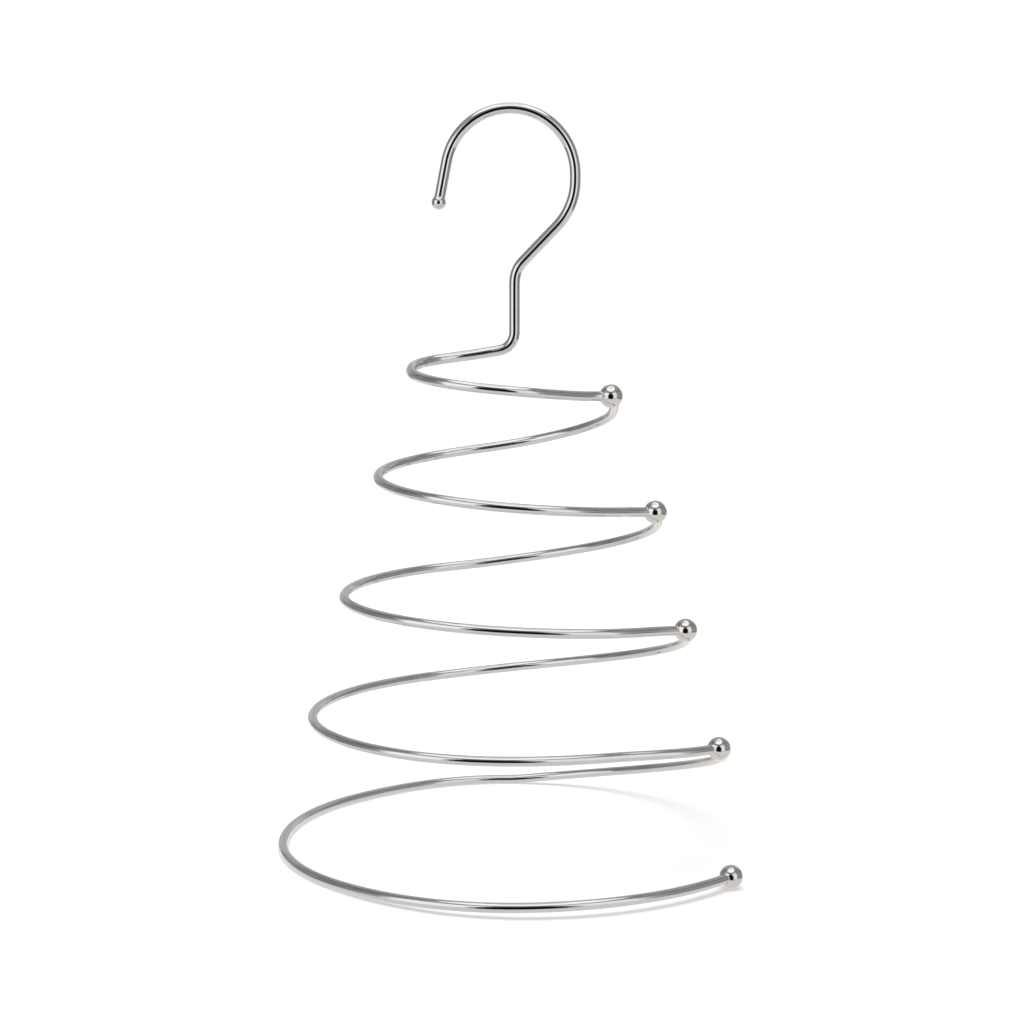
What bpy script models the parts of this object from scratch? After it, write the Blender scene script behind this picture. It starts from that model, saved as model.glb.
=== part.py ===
"""A spiral hanger: a rail hook on a stem, whose wire runs on as five widening turns, one below the other.

Each turn is one bent steel wire. It ends in a steel ball, and the next turn's wire starts in the same ball.
The spiral's axis is the stem's axis. The hanger stands on its lowest turn, and z = 0 is the floor.
"""

from collections import namedtuple
from math import atan2, cos, degrees, hypot, pi, radians, sin, tan

import bmesh
import bpy
from mathutils import Vector

# Stock and joints, in metres
WIRE_DIAMETER = 0.0042
HOOK_WIRE_DIAMETER = 0.0047  # the first wire is this thick from the hook to the stem's foot
TIER_BALL_DIAMETER = 0.0100
HOOK_BALL_DIAMETER = 0.0070
BALL_CORE = 0.0018  # a wire's end stops this far from the middle of its ball
SOCKET_CLEARANCE = 0.0003  # all round a wire's end, and under it

# The five turns
TIER_PITCH = 0.0500  # height from one ball to the next
BASE_REACH = 0.1159  # from the axis to the lowest ball, and so the spread of all the turns
QUICK_DROP_TURN = 0.403  # share of a turn over which a wire does its quick drop

# reach and angle: where the turn's ball sits, as a share of the base reach and as a direction in degrees,
# seen from above, from +X towards +Y
# quick_drop: share of the pitch lost early in the turn
# ease: power of the slow change that takes up the rest over the whole turn. The lowest turn drops past the
# floor, so it lies on the floor until it lifts to its ball.
# swing: share of its reach that a wire gains just before its ball, so that it meets the ball from the side
# passes: the turn's reach in other directions, as shares too, in the order in which it passes them
Tier = namedtuple("Tier", "reach angle quick_drop ease swing passes")
TIERS = (
    Tier(reach=0.487, angle=-43.4, quick_drop=0.00, ease=1.41, swing=0.17,
         passes={120: 0.305, 150: 0.386, 180: 0.382, 225: 0.369, 270: 0.326, 315: 0.276}),
    Tier(reach=0.602, angle=-30.0, quick_drop=0.25, ease=1.10, swing=0.10,
         passes={-20: 0.400, 0: 0.376, 90: 0.382, 180: 0.515, 270: 0.572}),
    Tier(reach=0.732, angle=-30.3, quick_drop=0.57, ease=1.01, swing=0.07,
         passes={-15: 0.560, 0: 0.549, 90: 0.615, 180: 0.656, 270: 0.596}),
    Tier(reach=0.868, angle=-29.7, quick_drop=0.80, ease=0.98, swing=0.00,
         passes={0: 0.669, 90: 0.831, 135: 0.803, 180: 0.782, 240: 0.749, 300: 0.714}),
    Tier(reach=1.000, angle=-38.3, quick_drop=1.11, ease=0.00, swing=0.00,
         passes={0: 0.819, 90: 1.029, 135: 0.951, 180: 0.901, 225: 0.911, 270: 0.997}),
)
LIFT_START = 205.0  # degrees: here the lowest turn leaves the floor
LIFT_END = 296.0  # degrees: from here on it runs level with its ball's middle
SWING_ANGLE = 14.0  # degrees of a turn over which its wire swings out to its ball

# The first turn starts at the stem's foot instead of a ball
STEM_FOOT_RISE = 0.0180  # the stem's foot lies this far above the first ball
STEM_FOOT_BEND = 0.0080  # centreline radius of the bend at the stem's foot, towards the hook tip's side
FIRST_TURN_FORWARD = 0.0300  # the middle of the first turn lies this far in front of the stem
THINNING_SHARE = 0.5  # share of the first turn over which the thick wire narrows to the turns' wire

# The hook, in the plane y = 0
STEM_LENGTH = 0.0352  # from the foot to the corner where the wire leans out
STEM_TOP_BEND = 0.0130
HOOK_LEAN = 44.0  # degrees between the leaning stretch and the stem
HOOK_RADIUS = 0.02845
HOOK_CENTRE_OFFSET = 0.00185  # the eye's centre lies this far from the axis, towards the tip
HOOK_SIDE_DROP = 0.0029  # straight stretch on the eye's side above the lean
TIP_FLARE = 10.9  # degrees by which the hook's leg leans outward
TIP_LEG = 0.0181  # from the eye's arc to the middle of the hook's ball

# Mesh detail
POINTS_PER_TURN = 40
SWING_POINTS = 3  # of those, in the swing to the ball
FIRST_TURN_SHARE = 0.75  # the first turn is shorter, so it has this share of the points
FIRST_TURN_CROWDING = 1.3  # power that sets the first turn's points closer together near the stem
DEGREES_PER_POINT = 11.0  # in bends and arcs
TUBE_RESOLUTION = 2
BALL_SEGMENTS = 20
BALL_RINGS = 12
SOCKET_SIDES = 16

WIRE_RADIUS = WIRE_DIAMETER / 2
HOOK_WIRE_RADIUS = HOOK_WIRE_DIAMETER / 2
TIER_BALL_RADIUS = TIER_BALL_DIAMETER / 2
HOOK_BALL_RADIUS = HOOK_BALL_DIAMETER / 2

CHROME_COLOUR = (0.78, 0.79, 0.80, 1.0)
CHROME_ROUGHNESS = 0.08


def clear_scene():
    """Remove every object, so that the file holds the hanger alone."""
    for old in list(bpy.data.objects):
        bpy.data.objects.remove(old, do_unlink=True)


def collection(name):
    """A new collection in the scene."""
    made = bpy.data.collections.new(name)
    bpy.context.scene.collection.children.link(made)
    return made


def chrome(node_name):
    """The bright plating of one sub-part."""
    made = bpy.data.materials.new(node_name + "_chrome")
    made.use_nodes = True
    shader = made.node_tree.nodes["Principled BSDF"]
    shader.inputs["Base Color"].default_value = CHROME_COLOUR
    shader.inputs["Metallic"].default_value = 1.0
    shader.inputs["Roughness"].default_value = CHROME_ROUGHNESS
    made.diffuse_color = CHROME_COLOUR
    return made


def on_turn(reach, angle, height):
    """The point at this distance from the axis, in this direction and at this height."""
    return Vector((reach * cos(angle), reach * sin(angle), height))


def ball_height(number):
    """Height of a tier ball's centre: the lowest one stands on the floor."""
    return TIER_BALL_RADIUS + TIER_PITCH * (len(TIERS) - number)


def ball_centre(number):
    """Centre of tier ball 1 to 5."""
    tier = TIERS[number - 1]
    return on_turn(BASE_REACH * tier.reach, radians(tier.angle), ball_height(number))


def quick_fall(progress):
    """1 at the start of a quick drop and 0 from its end on, with a level finish."""
    left = 1 - min(progress, 1.0)
    return left * left * (2 - left)


def smooth_through(knots, place):
    """Height at this place of a smooth line through the knots, given as (place, height) in order."""
    last = len(knots) - 1
    slopes = []
    for index in range(last + 1):
        before = knots[max(index - 1, 0)]
        after = knots[min(index + 1, last)]
        slopes.append((after[1] - before[1]) / (after[0] - before[0]))
    index = 0
    while index < last - 1 and place > knots[index + 1][0]:
        index += 1
    (low, low_height), (high, high_height) = knots[index], knots[index + 1]
    width = high - low
    part = (place - low) / width
    rest = 1 - part
    ends = (1 + 2 * part) * rest * rest * low_height + (1 + 2 * rest) * part * part * high_height
    return ends + part * rest * width * (rest * slopes[index] - part * slopes[index + 1])


def lowest_line(angle):
    """Least height of a centreline in this direction: on the floor, then up to the lowest ball's middle."""
    share = min(max((angle - LIFT_START) / (LIFT_END - LIFT_START), 0), 1)
    return WIRE_RADIUS + (TIER_BALL_RADIUS - WIRE_RADIUS) * share * share * (3 - 2 * share)


def seen_from(middle, point):
    """Direction in degrees and distance of a point, seen from above from this middle."""
    offset = point - middle
    return degrees(atan2(offset.y, offset.x)), hypot(offset.x, offset.y)


def turn(number, start, middle, share_done):
    """Centreline of a turn, from this start to its ball. Its passes are measured from this middle.

    share_done gives the share of the turn's angle that is done at each point, and so the points' spacing.
    """
    tier = TIERS[number - 1]
    end = ball_centre(number)
    start_angle, start_reach = seen_from(middle, start)
    end_angle, end_reach = seen_from(middle, end)
    end_angle += 360
    swing = end_reach * tier.swing
    knots = [(start_angle, start_reach)]
    for angle, share in tier.passes.items():
        knots.append((angle, BASE_REACH * share))
    knots.append((end_angle, end_reach - swing))
    quick_drop = TIER_PITCH * tier.quick_drop
    slow_drop = start.z - end.z - quick_drop
    points = []
    for t in share_done:
        angle = start_angle + (end_angle - start_angle) * t
        near_ball = max(0, 1 - (end_angle - angle) / SWING_ANGLE)
        reach = smooth_through(knots, angle) + swing * near_ball ** 2
        fall = quick_drop * quick_fall(t / QUICK_DROP_TURN) + slow_drop * (1 - t) ** tier.ease
        height = max(end.z + fall, lowest_line(angle))
        points.append(middle + on_turn(reach, radians(angle), height))
    return points


def spaced(steps, sweep, crowding):
    """Shares of a turn of this sweep in degrees, one for each point, with the last points in the swing."""
    swing_share = SWING_ANGLE / sweep
    even_steps = steps - SWING_POINTS
    shares = [(1 - swing_share) * (step / even_steps) ** crowding for step in range(even_steps)]
    return shares + [1 - swing_share * (1 - step / SWING_POINTS) for step in range(SWING_POINTS + 1)]


def lower_turn(number):
    """Centreline of turn 2 to 5, from the ball above to its own ball."""
    sweep = 360 + TIERS[number - 1].angle - TIERS[number - 2].angle
    return turn(number, ball_centre(number - 1), Vector((0, 0, 0)), spaced(POINTS_PER_TURN, sweep, 1.0))


def first_turn():
    """Centreline of turn 1, from the end of the stem's foot bend to ball 1."""
    out = STEM_FOOT_BEND * (1 - cos(foot_bend_angle()))
    start = Vector((-out, 0, ball_height(1) + STEM_FOOT_RISE))
    steps = round(POINTS_PER_TURN * FIRST_TURN_SHARE)
    return turn(1, start, first_turn_middle(), spaced(steps, first_turn_sweep(), FIRST_TURN_CROWDING))


def first_turn_middle():
    """Middle of the first turn, seen from above."""
    return Vector((0, -FIRST_TURN_FORWARD, 0))


def first_turn_sweep():
    """Degrees from the stem round to ball 1, seen from the first turn's middle."""
    end_angle, _ = seen_from(first_turn_middle(), ball_centre(1))
    start_angle, _ = seen_from(first_turn_middle(), Vector((-STEM_FOOT_BEND, 0, 0)))
    return 360 + end_angle - start_angle


def foot_bend_angle():
    """How far the stem's foot bends: short of level by the slope at which the first turn starts."""
    forward = FIRST_TURN_FORWARD * radians(first_turn_sweep())
    return pi / 2 - atan2(STEM_FOOT_RISE * TIERS[0].ease, forward)


def foot_bend():
    """Centreline from the stem's straight part round into the first turn, in the hook's plane."""
    bend = foot_bend_angle()
    top = ball_height(1) + STEM_FOOT_RISE + STEM_FOOT_BEND * sin(bend)
    return hook_arc(-STEM_FOOT_BEND, top, STEM_FOOT_BEND, 0, -bend)[:-1]


def arc_steps(angle):
    """Number of straight steps that stand for an arc of this angle."""
    return max(2, round(abs(angle) / radians(DEGREES_PER_POINT)))


def hook_arc(centre_x, centre_z, radius, start, end):
    """Points of an arc in the plane y = 0, with both its ends."""
    steps = arc_steps(end - start)
    points = []
    for step in range(steps + 1):
        angle = start + (end - start) * step / steps
        points.append(Vector((centre_x + radius * cos(angle), 0, centre_z + radius * sin(angle))))
    return points


def hook():
    """Centreline from the middle of the hook's ball over the eye and down to the stem's straight part."""
    lean = radians(HOOK_LEAN)
    corner_z = ball_height(1) + STEM_FOOT_RISE + STEM_LENGTH
    eye_x = -HOOK_CENTRE_OFFSET
    # The leaning stretch touches the lower arc and meets the stem's line at the corner.
    lower_z = corner_z + (HOOK_RADIUS + eye_x * cos(lean)) / sin(lean)
    eye_z = lower_z + HOOK_SIDE_DROP
    flare = radians(TIP_FLARE)
    over = hook_arc(eye_x, eye_z, HOOK_RADIUS, pi - flare, 0.0)
    tip = over[0] + TIP_LEG * Vector((-sin(flare), 0, -cos(flare)))
    under = hook_arc(eye_x, lower_z, HOOK_RADIUS, 0.0, -(pi / 2 - lean))
    bend_start = corner_z - STEM_TOP_BEND * tan(lean / 2)
    into_stem = hook_arc(STEM_TOP_BEND, bend_start, STEM_TOP_BEND, pi - lean, pi)
    return [tip, over[0].lerp(tip, 0.5)] + over + under + into_stem


def without_ends(points):
    """The same line, stopping short of the ball's middle at both ends."""
    first = points[0] + start_direction(points) * BALL_CORE
    last = points[-1] + end_direction(points) * BALL_CORE
    return [first] + points[1:-1] + [last]


def thinning(thick_points, turn_points):
    """The first wire's thickness at each point, as a share of the turns' wire."""
    thick = HOOK_WIRE_DIAMETER / WIRE_DIAMETER
    narrowing_points = turn_points * THINNING_SHARE
    narrowing = [1 + (thick - 1) * max(0, 1 - step / narrowing_points) for step in range(turn_points)]
    return [thick] * thick_points + narrowing


def wire(name, points, shares, group):
    """A round wire along these points, with closed ends. The shares give its thickness at each point."""
    data = bpy.data.curves.new(name, "CURVE")
    data.dimensions = "3D"
    data.bevel_depth = WIRE_RADIUS
    data.bevel_resolution = TUBE_RESOLUTION
    data.use_fill_caps = True
    spline = data.splines.new("POLY")
    spline.points.add(len(points) - 1)
    for place, point, share in zip(spline.points, points, shares):
        place.co = (*point, 1.0)
        place.radius = share
    spline.use_smooth = True
    data.materials.append(chrome(name))
    made = bpy.data.objects.new(name, data)
    group.objects.link(made)
    return made


def socket_cutter(name, centre, direction, wire_radius, floor, mouth, cutters):
    """A cylinder on the wire's line, from the socket's floor out past the ball."""
    mesh = bpy.data.meshes.new(name)
    shape = bmesh.new()
    bmesh.ops.create_cone(
        shape,
        cap_ends=True,
        segments=SOCKET_SIDES,
        radius1=wire_radius + SOCKET_CLEARANCE,
        radius2=wire_radius + SOCKET_CLEARANCE,
        depth=mouth - floor,
    )
    shape.to_mesh(mesh)
    shape.free()
    made = bpy.data.objects.new(name, mesh)
    made.location = centre + direction * (mouth + floor) / 2
    made.rotation_mode = "QUATERNION"
    made.rotation_quaternion = direction.to_track_quat("Z", "Y")
    made.hide_render = True
    made.display_type = "WIRE"
    cutters.objects.link(made)
    return made


def ball(name, centre, radius, wire_radius, wire_directions, group, cutters):
    """A ball with a blind socket for each wire of this radius that ends in it."""
    mesh = bpy.data.meshes.new(name)
    shape = bmesh.new()
    bmesh.ops.create_uvsphere(shape, u_segments=BALL_SEGMENTS, v_segments=BALL_RINGS, radius=radius)
    shape.to_mesh(mesh)
    shape.free()
    mesh.shade_smooth()
    mesh.materials.append(chrome(name))
    made = bpy.data.objects.new(name, mesh)
    made.location = centre
    group.objects.link(made)
    floor = BALL_CORE - SOCKET_CLEARANCE
    for number, direction in enumerate(wire_directions, 1):
        cutter_name = f"{name}_socket_{number}"
        cutter = socket_cutter(cutter_name, centre, direction, wire_radius, floor, 2 * radius, cutters)
        cut = made.modifiers.new(cutter_name, "BOOLEAN")
        cut.operation = "DIFFERENCE"
        cut.solver = "EXACT"
        cut.object = cutter
    return made


def start_direction(points):
    """Unit vector along a line's first stretch."""
    return (points[1] - points[0]).normalized()


def end_direction(points):
    """Unit vector from a line's last point back along its last stretch."""
    return (points[-2] - points[-1]).normalized()


def centre_footprint(root, parts):
    """Move the root so that the middle of the hanger's outer box stands over the origin."""
    bpy.context.view_layer.update()
    graph = bpy.context.evaluated_depsgraph_get()
    corners = []
    for part in parts:
        evaluated = part.evaluated_get(graph)
        mesh = evaluated.to_mesh()
        corners += [evaluated.matrix_world @ vertex.co for vertex in mesh.vertices]
        evaluated.to_mesh_clear()
    for axis in (0, 1):
        values = [corner[axis] for corner in corners]
        root.location[axis] -= (min(values) + max(values)) / 2
    bpy.context.view_layer.update()


def build():
    """The whole hanger."""
    clear_scene()
    group = collection("spiral_hanger")
    cutters = collection("spiral_hanger_cutters")
    root = bpy.data.objects.new("spiral_axis", None)
    group.objects.link(root)

    thick_line = hook() + foot_bend()
    lines = {1: thick_line + first_turn()}
    for number in range(2, len(TIERS) + 1):
        lines[number] = lower_turn(number)

    shares = thinning(len(thick_line), len(lines[1]) - len(thick_line))
    parts = [wire("hook_and_tier_wire_1", without_ends(lines[1]), shares, group)]
    for number in range(2, len(TIERS) + 1):
        shares = [1.0] * len(lines[number])
        parts.append(wire(f"tier_wire_{number}", without_ends(lines[number]), shares, group))

    tip_direction = [start_direction(lines[1])]
    tip = ball("hook_tip_ball", lines[1][0], HOOK_BALL_RADIUS, HOOK_WIRE_RADIUS, tip_direction, group, cutters)
    parts.append(tip)
    for number in lines:
        directions = [end_direction(lines[number])]
        if number + 1 in lines:
            directions.append(start_direction(lines[number + 1]))
        place = ball_centre(number)
        name = f"tier_ball_{number}"
        parts.append(ball(name, place, TIER_BALL_RADIUS, WIRE_RADIUS, directions, group, cutters))

    for part in parts + list(cutters.objects):
        part.parent = root
    centre_footprint(root, parts)
    print(f"spiral hanger: {len(parts)} pieces, axis at {tuple(round(v, 5) for v in root.location)}")


build()
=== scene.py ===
# %% [markdown]
# A spiral hanger is one rail hook on a short stem, and below it five turns of bent steel wire that widen on
# their way down. Every turn ends in a steel ball. The whole frame is welded, polished and chrome plated.
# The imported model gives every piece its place. This script makes finer pieces there, gives them their
# finish, and sets up the studio.

from collections import namedtuple
from math import atan2, cos, degrees, hypot, pi, radians, sin, tan

import bmesh
import bpy
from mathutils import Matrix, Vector


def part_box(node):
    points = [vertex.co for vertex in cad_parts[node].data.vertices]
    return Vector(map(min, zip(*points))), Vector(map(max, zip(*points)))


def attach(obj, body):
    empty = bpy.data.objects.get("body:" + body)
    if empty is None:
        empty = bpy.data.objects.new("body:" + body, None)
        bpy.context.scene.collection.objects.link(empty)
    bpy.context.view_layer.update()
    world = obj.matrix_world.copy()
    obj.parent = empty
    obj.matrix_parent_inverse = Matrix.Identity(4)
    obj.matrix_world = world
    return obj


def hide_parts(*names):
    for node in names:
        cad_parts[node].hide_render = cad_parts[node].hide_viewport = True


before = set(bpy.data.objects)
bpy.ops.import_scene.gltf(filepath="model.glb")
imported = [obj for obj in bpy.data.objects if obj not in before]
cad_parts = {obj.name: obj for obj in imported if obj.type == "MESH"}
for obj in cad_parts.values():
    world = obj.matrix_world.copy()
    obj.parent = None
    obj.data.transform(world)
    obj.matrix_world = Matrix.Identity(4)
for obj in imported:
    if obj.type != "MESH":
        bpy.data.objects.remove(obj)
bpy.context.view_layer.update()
print("packed nodes:", ", ".join(sorted(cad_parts)))

# %% [markdown]
# All sizes come from two places. The frame gives where the balls are and how thick they are. The plan of
# the bends, which a bender would set on the machine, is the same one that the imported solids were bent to. A
# wire could also be traced back from its solid, but the plan gives a smooth line at any fineness.

# %% The bender's plan
WIRE_RADIUS = 0.0021
HOOK_WIRE_RADIUS = 0.00235  # the first wire is this thick from the hook to the stem's foot
BALL_CORE = 0.0018  # a wire's end stops this far from the middle of its ball
TIER_PITCH = 0.0500  # height from one ball to the next
BASE_REACH = 0.1159  # from the stem's axis to the lowest ball
QUICK_DROP_TURN = 0.403  # share of a turn over which a wire does its quick drop

# reach and angle: where the turn's ball sits, as a share of the base reach and as a direction in degrees
# quick_drop: share of the pitch that is lost early in the turn
# ease: power of the slow change of height that takes up the rest
# swing: share of its reach that a wire gains just before its ball
# passes: the turn's reach in other directions, as shares too, measured from the turn's own middle
Tier = namedtuple("Tier", "reach angle quick_drop ease swing passes")
TIERS = (
    Tier(reach=0.487, angle=-43.4, quick_drop=0.00, ease=1.41, swing=0.17,
         passes={120: 0.305, 150: 0.386, 180: 0.382, 225: 0.369, 270: 0.326, 315: 0.276}),
    Tier(reach=0.602, angle=-30.0, quick_drop=0.25, ease=1.10, swing=0.10,
         passes={-20: 0.400, 0: 0.376, 90: 0.382, 180: 0.515, 270: 0.572}),
    Tier(reach=0.732, angle=-30.3, quick_drop=0.57, ease=1.01, swing=0.07,
         passes={-15: 0.560, 0: 0.549, 90: 0.615, 180: 0.656, 270: 0.596}),
    Tier(reach=0.868, angle=-29.7, quick_drop=0.80, ease=0.98, swing=0.00,
         passes={0: 0.669, 90: 0.831, 135: 0.803, 180: 0.782, 240: 0.749, 300: 0.714}),
    Tier(reach=1.000, angle=-38.3, quick_drop=1.11, ease=0.00, swing=0.00,
         passes={0: 0.819, 90: 1.029, 135: 0.951, 180: 0.901, 225: 0.911, 270: 0.997}),
)
LIFT_START = 205.0  # degrees: here the lowest turn leaves the floor
LIFT_END = 296.0  # degrees: from here on it runs level with its ball's middle
SWING_ANGLE = 14.0  # degrees of a turn over which its wire swings out to its ball

STEM_FOOT_RISE = 0.0180  # the stem's foot lies this far above the first ball
STEM_FOOT_BEND = 0.0080  # radius of the bend at the stem's foot
FIRST_TURN_FORWARD = 0.0300  # the middle of the first turn lies this far in front of the stem
THINNING_SHARE = 0.5  # share of the first turn over which the thick wire narrows
STEM_LENGTH = 0.0352  # from its foot to the corner where the leaning stretch starts
STEM_TOP_BEND = 0.0130  # radius of the bend at that corner
HOOK_LEAN = 44.0  # degrees between the leaning stretch and the stem
HOOK_RADIUS = 0.02845  # of the eye, to the middle of its wire
HOOK_CENTRE_OFFSET = 0.00185  # the eye's centre lies this far from the stem's axis, towards the tip
HOOK_SIDE_DROP = 0.0029  # straight stretch on the eye's side above the lean
TIP_FLARE = 10.9  # degrees by which the hook's leg leans outward
TIP_LEG = 0.0181  # from the eye's arc to the middle of the hook's ball


def node_middle(name):
    """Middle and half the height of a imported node."""
    low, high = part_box(name)
    return (low + high) / 2, (high.z - low.z) / 2


base_ball, TIER_BALL_RADIUS = node_middle("tier_ball_5")
HOOK_BALL_RADIUS = node_middle("hook_tip_ball")[1]
base_angle = radians(TIERS[-1].angle)
axis = Vector((base_ball.x - BASE_REACH * cos(base_angle), base_ball.y - BASE_REACH * sin(base_angle), 0))
print("stem's axis, mm:", [round(1000 * value, 2) for value in axis])
print("ball radii, mm:", round(1000 * TIER_BALL_RADIUS, 2), round(1000 * HOOK_BALL_RADIUS, 2))

# %% [markdown]
# A turn is a line whose distance from the stem grows smoothly through a few known places, and whose height
# falls fast at first and then slowly. The lowest turn lies on the floor for a third of its way, and then
# lifts to its ball's middle.

# %% Lines of the turns
STEPS_PER_TURN = 120


def on_turn(reach, angle, height):
    """The point at this distance from the stem's axis, in this direction and at this height."""
    return Vector((reach * cos(angle), reach * sin(angle), height))


def ball_height(number):
    """Height of the middle of tier ball 1 to 5."""
    return TIER_BALL_RADIUS + TIER_PITCH * (len(TIERS) - number)


def ball_centre(number):
    """Middle of tier ball 1 to 5, measured from the stem's axis."""
    tier = TIERS[number - 1]
    return on_turn(BASE_REACH * tier.reach, radians(tier.angle), ball_height(number))


def smooth_through(knots, place):
    """Value at this place of a smooth line through the knots, given as (place, value) in order."""
    last = len(knots) - 1
    slopes = []
    for index in range(last + 1):
        before = knots[max(index - 1, 0)]
        after = knots[min(index + 1, last)]
        slopes.append((after[1] - before[1]) / (after[0] - before[0]))
    index = 0
    while index < last - 1 and place > knots[index + 1][0]:
        index += 1
    (low, low_value), (high, high_value) = knots[index], knots[index + 1]
    width = high - low
    part = (place - low) / width
    rest = 1 - part
    ends = (1 + 2 * part) * rest * rest * low_value + (1 + 2 * rest) * part * part * high_value
    return ends + part * rest * width * (rest * slopes[index] - part * slopes[index + 1])


def lowest_line(angle):
    """Least height of a line in this direction: on the floor, then up to the lowest ball's middle."""
    share = min(max((angle - LIFT_START) / (LIFT_END - LIFT_START), 0), 1)
    return WIRE_RADIUS + (TIER_BALL_RADIUS - WIRE_RADIUS) * share * share * (3 - 2 * share)


def seen_from(middle, point):
    """Direction in degrees and distance of a point, seen from above from this middle."""
    offset = point - middle
    return degrees(atan2(offset.y, offset.x)), hypot(offset.x, offset.y)


def turn(number, start, middle):
    """Line of a turn, from this start round to its ball. Its passes are measured from this middle."""
    tier = TIERS[number - 1]
    end = ball_centre(number)
    start_angle, start_reach = seen_from(middle, start)
    end_angle, end_reach = seen_from(middle, end)
    end_angle += 360
    swing = end_reach * tier.swing
    knots = [(start_angle, start_reach)]
    for angle, share in tier.passes.items():
        knots.append((angle, BASE_REACH * share))
    knots.append((end_angle, end_reach - swing))
    quick_drop = TIER_PITCH * tier.quick_drop
    slow_drop = start.z - end.z - quick_drop
    points = []
    for step in range(STEPS_PER_TURN + 1):
        t = step / STEPS_PER_TURN
        angle = start_angle + (end_angle - start_angle) * t
        near_ball = max(0, 1 - (end_angle - angle) / SWING_ANGLE)
        reach = smooth_through(knots, angle) + swing * near_ball ** 2
        left = 1 - min(t / QUICK_DROP_TURN, 1)
        fall = quick_drop * left * left * (2 - left) + slow_drop * (1 - t) ** tier.ease
        height = max(end.z + fall, lowest_line(angle))
        points.append(middle + on_turn(reach, radians(angle), height))
    return points


# %% [markdown]
# The hook and the stem lie in one plane. The stem's foot bends round into the first turn. That turn is
# smaller than the others, and its middle lies in front of the stem.

# %% Lines of the hook and the stem's foot
ARC_STEP = 3.0  # degrees from one point of an arc to the next
first_middle = Vector((0, -FIRST_TURN_FORWARD, 0))


def foot_bend_angle():
    """How far the stem's foot bends: short of level by the slope at which the first turn starts."""
    end_angle, _ = seen_from(first_middle, ball_centre(1))
    start_angle, _ = seen_from(first_middle, Vector((-STEM_FOOT_BEND, 0, 0)))
    forward = FIRST_TURN_FORWARD * radians(360 + end_angle - start_angle)
    return pi / 2 - atan2(STEM_FOOT_RISE * TIERS[0].ease, forward)


def arc(centre_x, centre_z, radius, start, end):
    """Points of an arc in the hook's plane."""
    steps = max(2, round(abs(end - start) / radians(ARC_STEP)))
    points = []
    for step in range(steps + 1):
        angle = start + (end - start) * step / steps
        points.append(Vector((centre_x + radius * cos(angle), 0, centre_z + radius * sin(angle))))
    return points


def foot_bend():
    """Line from the stem's straight part round into the first turn, in the hook's plane."""
    bend = foot_bend_angle()
    top = ball_height(1) + STEM_FOOT_RISE + STEM_FOOT_BEND * sin(bend)
    return arc(-STEM_FOOT_BEND, top, STEM_FOOT_BEND, 0, -bend)[:-1]


def hook():
    """Line from the middle of the hook's ball over the eye and down to the stem's straight part."""
    lean = radians(HOOK_LEAN)
    corner_z = ball_height(1) + STEM_FOOT_RISE + STEM_LENGTH
    # The leaning stretch touches the lower arc and meets the stem's line at the corner.
    lower_z = corner_z + (HOOK_RADIUS - HOOK_CENTRE_OFFSET * cos(lean)) / sin(lean)
    flare = radians(TIP_FLARE)
    over = arc(-HOOK_CENTRE_OFFSET, lower_z + HOOK_SIDE_DROP, HOOK_RADIUS, pi - flare, 0)
    tip = over[0] + TIP_LEG * Vector((-sin(flare), 0, -cos(flare)))
    under = arc(-HOOK_CENTRE_OFFSET, lower_z, HOOK_RADIUS, 0, lean - pi / 2)
    bend_start = corner_z - STEM_TOP_BEND * tan(lean / 2)
    return [tip] + over + under + arc(STEM_TOP_BEND, bend_start, STEM_TOP_BEND, pi - lean, pi)


# %% All five lines
foot_out = STEM_FOOT_BEND * (1 - cos(foot_bend_angle()))
foot_end = Vector((-foot_out, 0, ball_height(1) + STEM_FOOT_RISE))
thick_line = hook() + foot_bend()
lines = {1: thick_line + turn(1, foot_end, first_middle)}
for number in range(2, len(TIERS) + 1):
    lines[number] = turn(number, ball_centre(number - 1), Vector((0, 0, 0)))
for number, line in lines.items():
    length = sum((after - before).length for before, after in zip(line, line[1:]))
    print(f"wire {number}: {length * 1000:.0f} mm of wire")

# %% [markdown]
# One function adds any node to any tree, with its settings and its links. It serves the swept wires as well
# as the finishes.

# %% A helper for nodes, and one for colours
def add(tree, kind, links=(), **settings):
    """A new node with these settings. links gives (input, source): a socket to link, or a plain value."""
    made = tree.nodes.new(kind)
    for name, value in settings.items():
        setattr(made, name, value)
    for place, source in dict(links).items():
        if isinstance(source, bpy.types.NodeSocket):
            tree.links.new(source, made.inputs[place])
        else:
            made.inputs[place].default_value = source
    return made


def linear(code):
    """Linear colour of an sRGB hex code such as C4C5C5."""
    channels = []
    for start in (0, 2, 4):
        value = int(code[start : start + 2], 16) / 255
        channels.append(value / 12.92 if value <= 0.04045 else ((value + 0.055) / 1.055) ** 2.4)
    return (*channels, 1.0)


# %% [markdown]
# Bright chrome is nickel, levelled until it mirrors, under a skin of chromium. The eye reads it by what it
# mirrors: sharp white and black bands. The plate's colour and haze shift a little from patch to patch, and
# two layers of relief bend the mirrored bands. The wires and the balls could each have a whole material of
# their own, but they differ only in their patterns, so one function plates both.

# %% Plate: what both finishes share
HAZE_FROM = 0.3  # the noise levels between which the haze grows
HAZE_TO = 0.8


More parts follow.
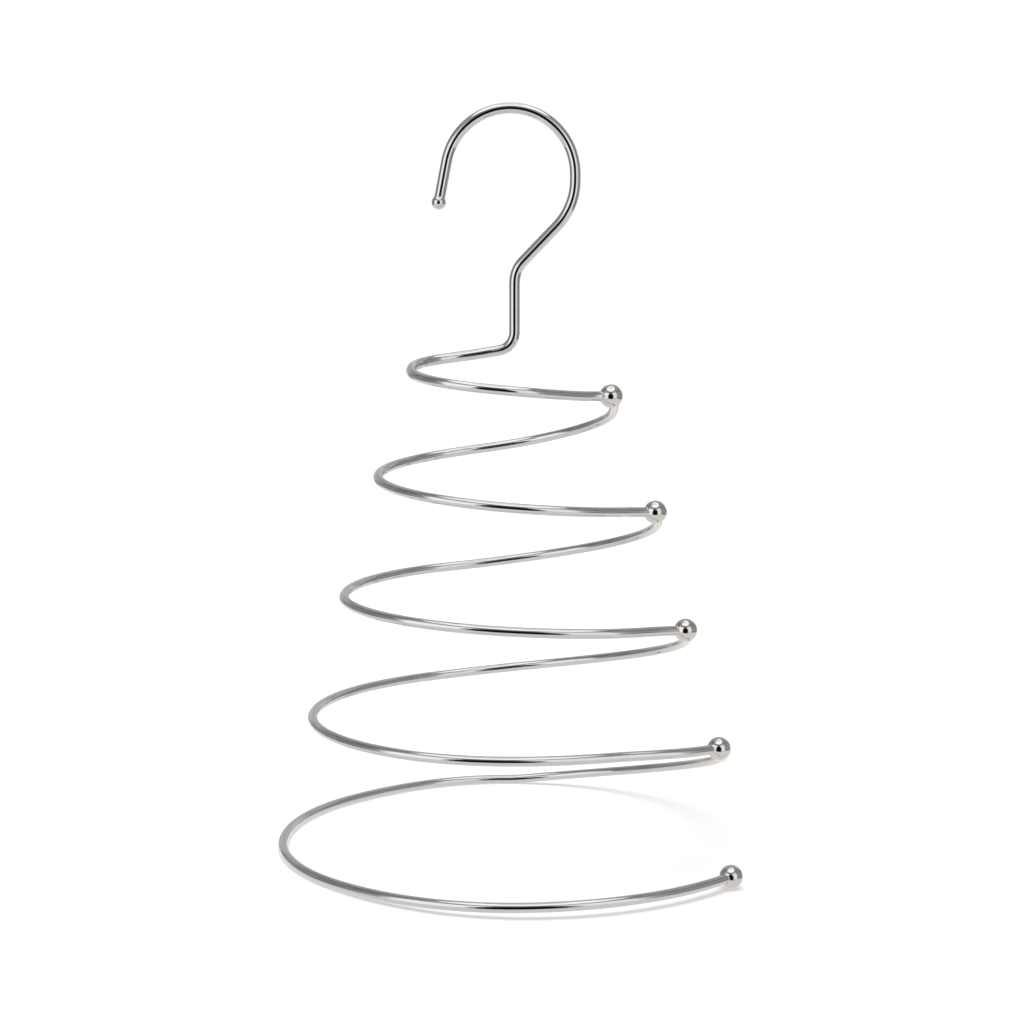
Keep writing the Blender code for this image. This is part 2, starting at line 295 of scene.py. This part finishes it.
def plate_on(tree, patches, colours, haze, reliefs):
    """Give the tree's shader its plate.

    patches: the noise that shifts the colour from one hex code to the other, and the roughness with it.
    reliefs: each layer's (height, strength, depth in metres), the coarsest first.
    """
    shader = tree.nodes["Principled BSDF"]
    shader.inputs["Metallic"].default_value = 1.0
    clear, dull = (linear(code) for code in colours)
    tint = add(tree, "ShaderNodeMix", {"Factor": patches, 6: clear, 7: dull}, data_type="RGBA")
    tree.links.new(tint.outputs[2], shader.inputs["Base Color"])
    rough = add(
        tree,
        "ShaderNodeMapRange",
        {"Value": patches, "From Min": HAZE_FROM, "From Max": HAZE_TO, "To Min": haze[0], "To Max": haze[1]},
    )
    tree.links.new(rough.outputs[0], shader.inputs["Roughness"])
    normal = None
    for height, strength, depth in reliefs:
        bump = add(tree, "ShaderNodeBump", {"Height": height, "Strength": strength, "Distance": depth})
        if normal is not None:
            tree.links.new(normal, bump.inputs["Normal"])
        normal = bump.outputs[0]
    tree.links.new(normal, shader.inputs["Normal"])


def new_material(name):
    """A material with nodes, and its tree."""
    material = bpy.data.materials.new(name)
    material.use_nodes = True
    return material, material.node_tree


# %% [markdown]
# On the wire the nickel keeps a slow swell of a few millimetres, so the bands waver, and the die's drawing
# lines show faintly along the wire. A photograph wrapped round the wire would tie it to one length, so the
# pattern is computed from where a point sits along and around the wire.

# %% Finish: bright chrome plate on drawn steel wire
SWELL_MM = 3.2  # length of the plate's slow swell
SWELL_RELIEF = (0.25, 0.0001)  # strength, and depth in metres
DRAWING_LINES_MM = 0.25  # spacing of the drawing lines, coarser than the real 0.05 so that they show
DRAWING_RELIEF = (0.12, 0.00002)
DRAWN_OUT = 0.02  # along the wire the lines change at this share of their pace around it
HANDLED_SCALE = 90.0  # patches of haze about 11 mm long
WIRE_COLOURS = ("CDCCCB", "C2C3C5")
WIRE_HAZE = (0.05, 0.11)  # roughness of the clearest and of the dullest patches


def chrome_on_wire():
    """The wires' plate, with drawing lines along the wire."""
    material, tree = new_material("bright_chrome_plate_on_drawn_wire")
    place = add(tree, "ShaderNodeTexCoord").outputs["Object"]
    swell = add(tree, "ShaderNodeTexNoise", {"Vector": place, "Scale": 1000 / SWELL_MM, "Detail": 1.0})
    handled = add(tree, "ShaderNodeTexNoise", {"Vector": place, "Scale": HANDLED_SCALE, "Detail": 3.0})

    along = add(tree, "ShaderNodeAttribute", attribute_name="along").outputs["Fac"]
    around = add(tree, "ShaderNodeAttribute", attribute_name="around").outputs["Vector"]
    side = add(tree, "ShaderNodeSeparateXYZ", {"Vector": around}).outputs
    slow = add(tree, "ShaderNodeMath", {0: along, 1: DRAWN_OUT}, operation="MULTIPLY").outputs[0]
    on_wire = add(tree, "ShaderNodeCombineXYZ", {"X": side["X"], "Y": side["Y"], "Z": slow}).outputs[0]
    line_scale = 1000 / DRAWING_LINES_MM
    drawn = add(tree, "ShaderNodeTexNoise", {"Vector": on_wire, "Scale": line_scale, "Detail": 2.0})

    reliefs = ((swell.outputs["Fac"], *SWELL_RELIEF), (drawn.outputs["Fac"], *DRAWING_RELIEF))
    plate_on(tree, handled.outputs["Fac"], WIRE_COLOURS, WIRE_HAZE, reliefs)
    return material


wire_chrome = chrome_on_wire()
print(wire_chrome.name, "nodes:", len(wire_chrome.node_tree.nodes))

# %% [markdown]
# The balls are turned steel that was tumbled smooth, so their plate has no drawing lines. It shows a finer
# and flatter swell, and the small marks that tumbling leaves.

# %% Finish: bright chrome plate on tumbled steel balls
BALL_SWELL_SCALE = 450.0  # swells about 2.2 mm long
BALL_SWELL_RELIEF = (0.2, 0.00005)  # strength, and depth in metres
MARK_SCALE = 1400.0  # marks about 0.7 mm apart
MARK_EDGE = (0.05, 0.35)  # a mark rises to the plate between these distances from its middle, in spacings
MARK_RELIEF = (0.05, 0.00002)
BALL_COLOURS = ("CFCDCA", "C6C5C3")
BALL_HAZE = (0.04, 0.08)  # roughness of the clearest and of the dullest patches


def chrome_on_ball():
    """The balls' plate, with small round marks."""
    material, tree = new_material("bright_chrome_plate_on_tumbled_ball")
    place = add(tree, "ShaderNodeTexCoord").outputs["Object"]
    swell = add(tree, "ShaderNodeTexNoise", {"Vector": place, "Scale": BALL_SWELL_SCALE, "Detail": 1.0})
    marks = add(tree, "ShaderNodeTexVoronoi", {"Vector": place, "Scale": MARK_SCALE})
    mark = add(
        tree,
        "ShaderNodeMapRange",
        {"Value": marks.outputs["Distance"], "From Min": MARK_EDGE[0], "From Max": MARK_EDGE[1]},
    )
    reliefs = ((swell.outputs["Fac"], *BALL_SWELL_RELIEF), (mark.outputs[0], *MARK_RELIEF))
    plate_on(tree, swell.outputs["Fac"], BALL_COLOURS, BALL_HAZE, reliefs)
    return material


ball_chrome = chrome_on_ball()
print(ball_chrome.name, "nodes:", len(ball_chrome.node_tree.nodes))

# %% [markdown]
# A wire follows a path, so Geometry Nodes sweep it: they space the line's points evenly, draw a circle
# along them, and note for every point how far along and where around the wire it lies. The line's own
# radius at each point thickens the circle, for the first wire. A curve with a bevel would give the same
# shape, but not those two notes, and the finish needs them for its drawing lines.

# %% Geometry Nodes: sweep a wire
SWEEP_INPUTS = {
    "Line": "NodeSocketGeometry",
    "Wire radius": "NodeSocketFloat",
    "Sides": "NodeSocketInt",
    "Spacing": "NodeSocketFloat",
    "Finish": "NodeSocketMaterial",
}


def sweep_tree():
    """The node group that turns a line into a wire."""
    tree = bpy.data.node_groups.new("sweep_wire", "GeometryNodeTree")
    for name, kind in SWEEP_INPUTS.items():
        tree.interface.new_socket(name, in_out="INPUT", socket_type=kind)
    tree.interface.new_socket("Wire", in_out="OUTPUT", socket_type="NodeSocketGeometry")
    given = add(tree, "NodeGroupInput").outputs

    spacing = {"Curve": given["Line"], "Length": given["Spacing"]}
    even = add(tree, "GeometryNodeResampleCurve", spacing, mode="LENGTH")
    distance = add(tree, "GeometryNodeSplineParameter").outputs["Length"]
    rail = add(
        tree,
        "GeometryNodeStoreNamedAttribute",
        {"Geometry": even.outputs[0], "Name": "along", "Value": distance},
        data_type="FLOAT",
    )
    round_wire = {"Resolution": given["Sides"], "Radius": given["Wire radius"]}
    circle = add(tree, "GeometryNodeCurvePrimitiveCircle", round_wire)
    position = add(tree, "GeometryNodeInputPosition").outputs[0]
    ring = add(
        tree,
        "GeometryNodeStoreNamedAttribute",
        {"Geometry": circle.outputs[0], "Name": "around", "Value": position},
        data_type="FLOAT_VECTOR",
    )
    share = add(tree, "GeometryNodeInputRadius").outputs[0]
    swept = add(
        tree,
        "GeometryNodeCurveToMesh",
        {"Curve": rail.outputs[0], "Profile Curve": ring.outputs[0], "Scale": share, "Fill Caps": True},
    )
    smooth = add(tree, "GeometryNodeSetShadeSmooth", {"Geometry": swept.outputs[0]})
    whole = add(tree, "GeometryNodeRealizeInstances", {"Geometry": smooth.outputs[0]})
    finish = {"Geometry": whole.outputs[0], "Material": given["Finish"]}
    plated = add(tree, "GeometryNodeSetMaterial", finish)
    add(tree, "NodeGroupOutput", {"Wire": plated.outputs[0]})
    return tree


def set_inputs(modifier, values):
    """Give the modifier's named inputs their values, through each socket's identifier."""
    for socket in modifier.node_group.interface.items_tree:
        if socket.item_type == "SOCKET" and socket.in_out == "INPUT" and socket.name in values:
            modifier[socket.identifier] = values[socket.name]


# %% The five wires
WIRE_SIDES = 24
WIRE_SPACING = 0.0022
sweep = sweep_tree()


def shown(name, data):
    """A new object in the scene, of this mesh, lamp or camera."""
    made = bpy.data.objects.new(name, data)
    bpy.context.collection.objects.link(made)
    return made


def without_ends(line):
    """The same line, placed on the stem's axis, stopping short of the ball's middle at both ends."""
    points = [point + axis for point in line]
    points[0] = points[0] + (points[1] - points[0]).normalized() * BALL_CORE
    points[-1] = points[-1] + (points[-2] - points[-1]).normalized() * BALL_CORE
    return points


def thickness(number):
    """A wire's thickness at each point of its line, as a share of the turns' wire."""
    shares = [1.0] * len(lines[number])
    if number == 1:
        thick = HOOK_WIRE_RADIUS / WIRE_RADIUS
        for place in range(len(shares)):
            narrowed = (place - len(thick_line)) / (STEPS_PER_TURN * THINNING_SHARE)
            shares[place] = thick + (1 - thick) * min(max(narrowed, 0), 1)
    return shares


def swept_wire(name, line, shares):
    """A plain mesh of a wire swept along this line. The shares give its thickness at each point."""
    path = bpy.data.curves.new(name + "_path", "CURVE")
    path.dimensions = "3D"
    spline = path.splines.new("POLY")
    points = without_ends(line)
    spline.points.add(len(points) - 1)
    for place, point, share in zip(spline.points, points, shares):
        place.co = (*point, 1)
        place.radius = share
    carrier = bpy.data.objects.new(name + "_path", path)
    bpy.context.collection.objects.link(carrier)
    modifier = carrier.modifiers.new("sweep", "NODES")
    modifier.node_group = sweep
    set_inputs(
        modifier,
        {"Wire radius": WIRE_RADIUS, "Sides": WIRE_SIDES, "Spacing": WIRE_SPACING, "Finish": wire_chrome},
    )
    graph = bpy.context.evaluated_depsgraph_get()
    mesh = bpy.data.meshes.new_from_object(carrier.evaluated_get(graph), depsgraph=graph)
    bpy.data.objects.remove(carrier)
    return shown(name, mesh)


def finished(piece, node):
    """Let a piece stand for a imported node."""
    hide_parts(node)
    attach(piece, "root")


for number, line in lines.items():
    node = "hook_and_tier_wire_1" if number == 1 else f"tier_wire_{number}"
    wire = swept_wire(f"plated_wire_{number}", line, thickness(number))
    finished(wire, node)
    print(wire.name, "triangles:", sum(len(face.vertices) - 2 for face in wire.data.polygons))

# %% [markdown]
# A ball meets its wires in a weld that the plate has closed over. It leaves a small hollow ring round each
# wire, the width of a pencil line, without which the ball would look pushed through the wire. A ball could
# be one sphere with its wires joined by a Boolean. A sphere with two lathed rings is rounder, and each ring
# can be sized by itself.

# %% The balls and the rings of their welds
BALL_SEGMENTS = 64
BALL_RINGS = 40
WELD_RING = 0.00045  # how far a weld's ring reaches along the wire and over the ball
WELD_STEPS = 6
WELD_BORE = 0.9  # the ring's inner wall, as a share of the wire's radius, so that it lies inside the wire


def weld_profile(ball_radius, wire_radius):
    """Outline of a weld's ring, as (distance from the wire's middle, distance from the ball's middle)."""
    inner = wire_radius * WELD_BORE
    wide = wire_radius + WELD_RING
    seat = (ball_radius**2 - wide**2) ** 0.5
    tall = (ball_radius**2 - wire_radius**2) ** 0.5 + WELD_RING
    outline = [(inner, seat - WELD_RING), (wide, seat - WELD_RING)]
    for step in range(WELD_STEPS + 1):
        angle = pi / 2 * step / WELD_STEPS
        outline.append((wide - WELD_RING * sin(angle), tall - (tall - seat) * cos(angle)))
    return outline + [(inner, tall)]


def lathe(shape, outline, way):
    """Add a closed ring to the shape: the outline turned round this way."""
    turned = way.to_track_quat("Z", "Y")
    rows = []
    for across, up in outline:
        row = []
        for step in range(BALL_SEGMENTS):
            angle = 2 * pi * step / BALL_SEGMENTS
            row.append(shape.verts.new(turned @ Vector((across * cos(angle), across * sin(angle), up))))
        rows.append(row)
    for lower, upper in zip(rows, rows[1:] + rows[:1]):
        for step in range(BALL_SEGMENTS):
            after = (step + 1) % BALL_SEGMENTS
            shape.faces.new((lower[step], lower[after], upper[after], upper[step]))


def plated_ball(name, centre, radius, wire_radius, ways):
    """A ball at this centre, with a weld's ring on each way in which a wire of this radius leaves it."""
    shape = bmesh.new()
    bmesh.ops.create_uvsphere(shape, u_segments=BALL_SEGMENTS, v_segments=BALL_RINGS, radius=radius)
    for way in ways:
        lathe(shape, weld_profile(radius, wire_radius), way)
    bmesh.ops.recalc_face_normals(shape, faces=shape.faces)
    bmesh.ops.translate(shape, verts=shape.verts, vec=centre)
    mesh = bpy.data.meshes.new(name)
    shape.to_mesh(mesh)
    shape.free()
    mesh.shade_smooth()
    mesh.materials.append(ball_chrome)
    return shown(name, mesh)


def way_in(line):
    """Unit vector from a line's first point along its first stretch."""
    return (line[1] - line[0]).normalized()


for number, line in lines.items():
    ways = [way_in(line[::-1])]
    if number + 1 in lines:
        ways.append(way_in(lines[number + 1]))
    ball = plated_ball(f"plated_ball_{number}", line[-1] + axis, TIER_BALL_RADIUS, WIRE_RADIUS, ways)
    finished(ball, f"tier_ball_{number}")
tip = lines[1][0] + axis
tip_ball = plated_ball("plated_tip_ball", tip, HOOK_BALL_RADIUS, HOOK_WIRE_RADIUS, [way_in(lines[1])])
finished(tip_ball, "hook_tip_ball")
print("balls:", len(lines) + 1)

# %% [markdown]
# Chrome has no colour of its own, so the studio round it makes the picture. Wire goods are shot in a light
# tent: a bright box overhead, one on each side of the camera, a white table below and grey cloth behind.
# Its opening towards the camera stays black, and draws the thin black line along the wires. Only mirrored
# rays see the tent. The plain lamp further down lights the floor. The tent is a sphere round the hanger,
# and its cloth glows by direction. A bearing is 0 towards the camera and grows towards the camera's right.
# Area lamps would light the chrome too, but their edges are hard, and the bands of a real tent are soft.

# %% Plan of the light tent
TENT_RADIUS = 1.5
TENT_CENTRE = (0, 0, 0.15)  # about the hanger's middle
CLOTH_LEVELS = {
    -180: 0.62, -160: 0.55, -140: 0.38, -105: 0.27, -84: 0.38, -70: 0.50, -26: 0.28, 16: 0.28,
    58: 0.50, 75: 0.42, 95: 0.32, 112: 0.36, 130: 0.48, 155: 0.58, 180: 0.62,
}  # the cloth's level of light at each bearing in degrees
FOLD_SCALE = 3.5
FOLD_NOISE = (0.32, 0.68)  # noise levels at the folds' darkest and brightest
FOLD_SHARE = (0.55, 1.45)  # the cloth's light there, as a share of its level

Box = namedtuple("Box", "left right low high level")
SIDE_BOXES = (  # bearings and elevations in degrees, and the level of light
    Box(left=-72, right=-22, low=-16, high=34, level=1.45),
    Box(left=15, right=55, low=-16, high=36, level=1.25),
)
BOX_SIDE_FADE = 0.08  # radians
BOX_END_FADE = 0.10  # radians

Oval = namedtuple("Oval", "middle halves fade inside outside")
# The slit that the camera looks in by: middle and half sizes in radians, and the share of light left there
SLIT = Oval((radians(-3), 0), (radians(29), radians(30)), fade=(0.78, 1.08), inside=0.03, outside=1)
# The box overhead: middle and half sizes, as shares of its height above the tent's middle
OVERHEAD = Oval((0, -0.20), (0.58, 0.72), fade=(0.88, 1.08), inside=1, outside=0)
OVERHEAD_LEVEL = 1.6

# The table: how far it reaches, as shares of the height of the tent's middle above it
TABLE_SIDE = 3.2
TABLE_FRONT = -2.3
TABLE_BACK = 4.0
TABLE_SIDE_FADE = 0.4
TABLE_END_FADE = 0.2
TABLE_COLOUR = "FFFBF7"
FLATTEST = 0.05  # a way flatter than this is taken to rise or fall by this much
print("cloth levels:", min(CLOTH_LEVELS.values()), "to", max(CLOTH_LEVELS.values()))

# %% [markdown]
# Each light on the tent is a mask: 1 inside and 0 outside, with a smooth edge. The side boxes and the table
# are rectangles, and the slit and the box overhead are ovals. A painted picture could hold them, but masks
# stay sharp at any size and can be moved by one value.

# %% Masks on the tent
def band(tree, value, low, high, soft):
    """1 where the value lies between low and high, fading out over the soft width."""
    rise = add(
        tree,
        "ShaderNodeMapRange",
        {"Value": value, "From Min": low - soft, "From Max": low + soft},
        interpolation_type="SMOOTHSTEP",
    )
    fall = add(
        tree,
        "ShaderNodeMapRange",
        {"Value": value, "From Min": high - soft, "From Max": high + soft, "To Min": 1.0, "To Max": 0.0},
        interpolation_type="SMOOTHSTEP",
    )
    both = {0: rise.outputs[0], 1: fall.outputs[0]}
    return add(tree, "ShaderNodeMath", both, operation="MULTIPLY").outputs[0]


def in_oval(tree, across, up, oval):
    """The oval's inside value within it, its outside value past it, and a smooth change between."""
    place = add(tree, "ShaderNodeCombineXYZ", {"X": across, "Y": up}).outputs[0]
    middle = (*oval.middle, 0)
    halves = (*oval.halves, 1)
    offset = add(tree, "ShaderNodeVectorMath", {0: place, 1: middle}, operation="SUBTRACT").outputs[0]
    scaled = add(tree, "ShaderNodeVectorMath", {0: offset, 1: halves}, operation="DIVIDE").outputs[0]
    out = add(tree, "ShaderNodeVectorMath", {0: scaled}, operation="LENGTH").outputs["Value"]
    near, far = oval.fade
    edge = {"Value": out, "From Min": near, "From Max": far, "To Min": oval.inside, "To Max": oval.outside}
    return add(tree, "ShaderNodeMapRange", edge, interpolation_type="SMOOTHSTEP").outputs[0]


def met_at(tree, x, y, toward):
    """Where a way meets a level plane, as shares of the distance to it. toward: the way's part to it."""
    height = add(tree, "ShaderNodeMath", {0: toward, 1: FLATTEST}, operation="MAXIMUM").outputs[0]
    places = []
    for part in (x, y):
        places.append(add(tree, "ShaderNodeMath", {0: part, 1: height}, operation="DIVIDE").outputs[0])
    return places


# %% [markdown]
# The lights are laid over each other in order: the cloth with its folds, the two side boxes, the dark slit
# across them, and last the box overhead and the table, which the slit doesn't reach. The cloth's levels
# were set by working back from the greys on the wires to the directions that they mirror.

# %% The tent's cloth, boxes, slit and table
def cloth_light(tree, way, bearing):
    """Light of the bare cloth, which hangs in folds."""
    share = add(tree, "ShaderNodeMapRange", {"Value": bearing, "From Min": -pi, "From Max": pi})
    round_about = add(tree, "ShaderNodeValToRGB", {"Fac": share.outputs[0]})
    ramp = round_about.color_ramp
    while len(ramp.elements) < len(CLOTH_LEVELS):
        ramp.elements.new(0.5)
    for element, (way_round, grey) in zip(ramp.elements, CLOTH_LEVELS.items()):
        element.position = (way_round + 180) / 360
        element.color = (grey, grey, grey, 1)
    hanging = {"Vector": way, "Scale": FOLD_SCALE, "Detail": 3.0, "Roughness": 0.6}
    folds = add(tree, "ShaderNodeTexNoise", hanging).outputs["Fac"]
    dark, bright = FOLD_NOISE
    least, most = FOLD_SHARE
    fold_range = {"Value": folds, "From Min": dark, "From Max": bright, "To Min": least, "To Max": most}
    fold_level = add(tree, "ShaderNodeMapRange", fold_range)
    both = {"Factor": 1.0, 6: round_about.outputs["Color"], 7: fold_level.outputs[0]}
    return add(tree, "ShaderNodeMix", both, data_type="RGBA", blend_type="MULTIPLY").outputs[2]


def tent_cloth():
    """The whole inside of the tent, as light."""
    material, tree = new_material("light_tent_cloth")
    tree.nodes.clear()
    place = add(tree, "ShaderNodeTexCoord").outputs["Object"]
    way = add(tree, "ShaderNodeVectorMath", {0: place}, operation="NORMALIZE").outputs[0]
    x, y, z = add(tree, "ShaderNodeSeparateXYZ", {"Vector": way}).outputs
    ahead = add(tree, "ShaderNodeMath", {0: y, 1: -1.0}, operation="MULTIPLY").outputs[0]
    below = add(tree, "ShaderNodeMath", {0: z, 1: -1.0}, operation="MULTIPLY").outputs[0]
    bearing = add(tree, "ShaderNodeMath", {0: x, 1: ahead}, operation="ARCTAN2").outputs[0]
    elevation = add(tree, "ShaderNodeMath", {0: z}, operation="ARCSINE").outputs[0]

    level = cloth_light(tree, way, bearing)
    for box in SIDE_BOXES:
        wide = band(tree, bearing, radians(box.left), radians(box.right), BOX_SIDE_FADE)
        tall = band(tree, elevation, radians(box.low), radians(box.high), BOX_END_FADE)
        mask = add(tree, "ShaderNodeMath", {0: wide, 1: tall}, operation="MULTIPLY").outputs[0]
        light = (box.level, box.level, box.level, 1)
        level = add(tree, "ShaderNodeMix", {"Factor": mask, 6: level, 7: light}, data_type="RGBA").outputs[2]

    slit = in_oval(tree, bearing, elevation, SLIT)
    dimmed = add(
        tree, "ShaderNodeMix", {"Factor": 1.0, 6: level, 7: slit}, data_type="RGBA", blend_type="MULTIPLY"
    )
    level = dimmed.outputs[2]

    overhead = in_oval(tree, *met_at(tree, x, y, z), OVERHEAD)
    table_x, table_y = met_at(tree, x, y, below)
    wide = band(tree, table_x, -TABLE_SIDE, TABLE_SIDE, TABLE_SIDE_FADE)
    deep = band(tree, table_y, TABLE_FRONT, TABLE_BACK, TABLE_END_FADE)
    table = add(tree, "ShaderNodeMath", {0: wide, 1: deep}, operation="MULTIPLY").outputs[0]
    overhead_light = (OVERHEAD_LEVEL, OVERHEAD_LEVEL, OVERHEAD_LEVEL, 1)
    for mask, light in ((overhead, overhead_light), (table, linear(TABLE_COLOUR))):
        level = add(tree, "ShaderNodeMix", {"Factor": mask, 6: level, 7: light}, data_type="RGBA").outputs[2]
    glow = add(tree, "ShaderNodeEmission", {"Color": level})
    add(tree, "ShaderNodeOutputMaterial", {"Surface": glow.outputs[0]})
    return material


# %% [markdown]
# Chrome mirrors the tent, and nothing else may see it: it would shade the floor and hide the white page. So
# it is hidden from every other kind of ray, and its faces look inward.

# %% The tent itself
TENT_SEGMENTS = 48
TENT_RINGS = 24

tent_shape = bmesh.new()
bmesh.ops.create_uvsphere(tent_shape, u_segments=TENT_SEGMENTS, v_segments=TENT_RINGS, radius=TENT_RADIUS)
bmesh.ops.reverse_faces(tent_shape, faces=tent_shape.faces)
tent_mesh = bpy.data.meshes.new("light_tent")
tent_shape.to_mesh(tent_mesh)
tent_shape.free()
tent_mesh.materials.append(tent_cloth())
tent = shown("light_tent", tent_mesh)
tent.location = TENT_CENTRE
tent.visible_camera = False
tent.visible_diffuse = False
tent.visible_transmission = False
tent.visible_volume_scatter = False
tent.visible_shadow = False
print("tent across, m:", 2 * TENT_RADIUS)

# %% [markdown]
# The floor is a white sweep. Its diffuse part takes the shadow, and for the camera it glows by what the
# lamp leaves short of white, so the page stays white without more light on the chrome.

# %% Floor
FLOOR_HALF = 30.0  # far enough for its edge to lie near the horizon
FLOOR_GLOW = 0.36  # what the lamp leaves short of white
PAPER = "E7E7E7"


def white_paper():
    """Matt paper that glows for the camera alone."""
    material, tree = new_material("white_paper")
    tree.nodes.clear()
    seen = add(tree, "ShaderNodeLightPath").outputs["Is Camera Ray"]
    matt = add(tree, "ShaderNodeBsdfDiffuse", {"Color": linear(PAPER)})
    lift = add(tree, "ShaderNodeMath", {0: seen, 1: FLOOR_GLOW}, operation="MULTIPLY")
    fill = add(tree, "ShaderNodeEmission", {"Strength": lift.outputs[0]})
    both = add(tree, "ShaderNodeAddShader", {0: matt.outputs[0], 1: fill.outputs[0]})
    add(tree, "ShaderNodeOutputMaterial", {"Surface": both.outputs[0]})
    return material


corners = ((-1, -1), (1, -1), (1, 1), (-1, 1))
floor_mesh = bpy.data.meshes.new("white_floor")
floor_mesh.from_pydata([(x * FLOOR_HALF, y * FLOOR_HALF, 0) for x, y in corners], [], [(0, 1, 2, 3)])
floor_mesh.materials.append(white_paper())
floor = shown("white_floor", floor_mesh)
floor.visible_glossy = False
print("floor across, m:", 2 * FLOOR_HALF)

# %% [markdown]
# One far lamp, almost straight above, lights the floor and gives the hanger its soft shadow. An area lamp
# could do that too, but a sun lamp is as bright at the page's edge as in its middle. The world is white
# where the camera or a mirror looks, and weak on matt surfaces, so that it doesn't wash the shadow out.

# %% Lamp and world
LAMP_ELEVATION = 88.0  # degrees: almost straight above, leaning towards the camera
LAMP_SPREAD = 60.0  # degrees: a wide lamp, whose shadow is soft
LAMP_STRENGTH = 2.0
WORLD_FILL = 0.30  # light of the world on matt surfaces, against 1 for what is seen and mirrored

raised = radians(LAMP_ELEVATION)
lamp_data = bpy.data.lights.new("overhead_box", "SUN")
lamp_data.angle = radians(LAMP_SPREAD)
lamp_data.energy = LAMP_STRENGTH
lamp = shown("overhead_box", lamp_data)
lamp.rotation_euler = Vector((0, -cos(raised), sin(raised))).to_track_quat("Z", "Y").to_euler()
lamp.visible_glossy = False

world = bpy.data.worlds.new("studio")
bpy.context.scene.world = world
world.use_nodes = True
tree = world.node_tree
tree.nodes.clear()
ray = add(tree, "ShaderNodeLightPath").outputs
clear_way = ray["Is Camera Ray"]
for kind in ("Is Glossy Ray", "Is Transmission Ray"):
    clear_way = add(tree, "ShaderNodeMath", {0: clear_way, 1: ray[kind]}, operation="MAXIMUM").outputs[0]
strength = add(tree, "ShaderNodeMapRange", {"Value": clear_way, "To Min": WORLD_FILL, "To Max": 1.0})
sky = add(tree, "ShaderNodeBackground", {"Color": linear("FFFFFF"), "Strength": strength.outputs[0]})
add(tree, "ShaderNodeOutputWorld", {"Surface": sky.outputs[0]})
print("lamp strength:", LAMP_STRENGTH, "world fill:", WORLD_FILL)

# %% [markdown]
# The camera stands where the photograph's did, about a metre in front of the stem and a little above the
# middle of the hanger, and looks six degrees down.

# %% Camera
PIXELS_WIDE = 1024
FOCAL_PIXELS = 2200
SENSOR_MM = 36
CAMERA_DISTANCE = 0.9735
CAMERA_HEIGHT = 0.2580
CAMERA_DOWN = 0.1095 - 0.5 / FOCAL_PIXELS  # radians: a pixel's middle lies half a pixel from its edge
CAMERA_LEFT = 2.5 / FOCAL_PIXELS  # radians: the stem stands this far right of the picture's middle

camera_data = bpy.data.cameras.new("studio_camera")
camera_data.sensor_width = SENSOR_MM
camera_data.lens = SENSOR_MM * FOCAL_PIXELS / PIXELS_WIDE
camera = shown("studio_camera", camera_data)
camera.location = (axis.x, axis.y - CAMERA_DISTANCE, CAMERA_HEIGHT)
camera.rotation_euler = (pi / 2 - CAMERA_DOWN, 0, CAMERA_LEFT)
bpy.context.scene.camera = camera
bpy.context.scene.view_settings.view_transform = "Standard"
print("lens, mm:", round(camera_data.lens, 2))
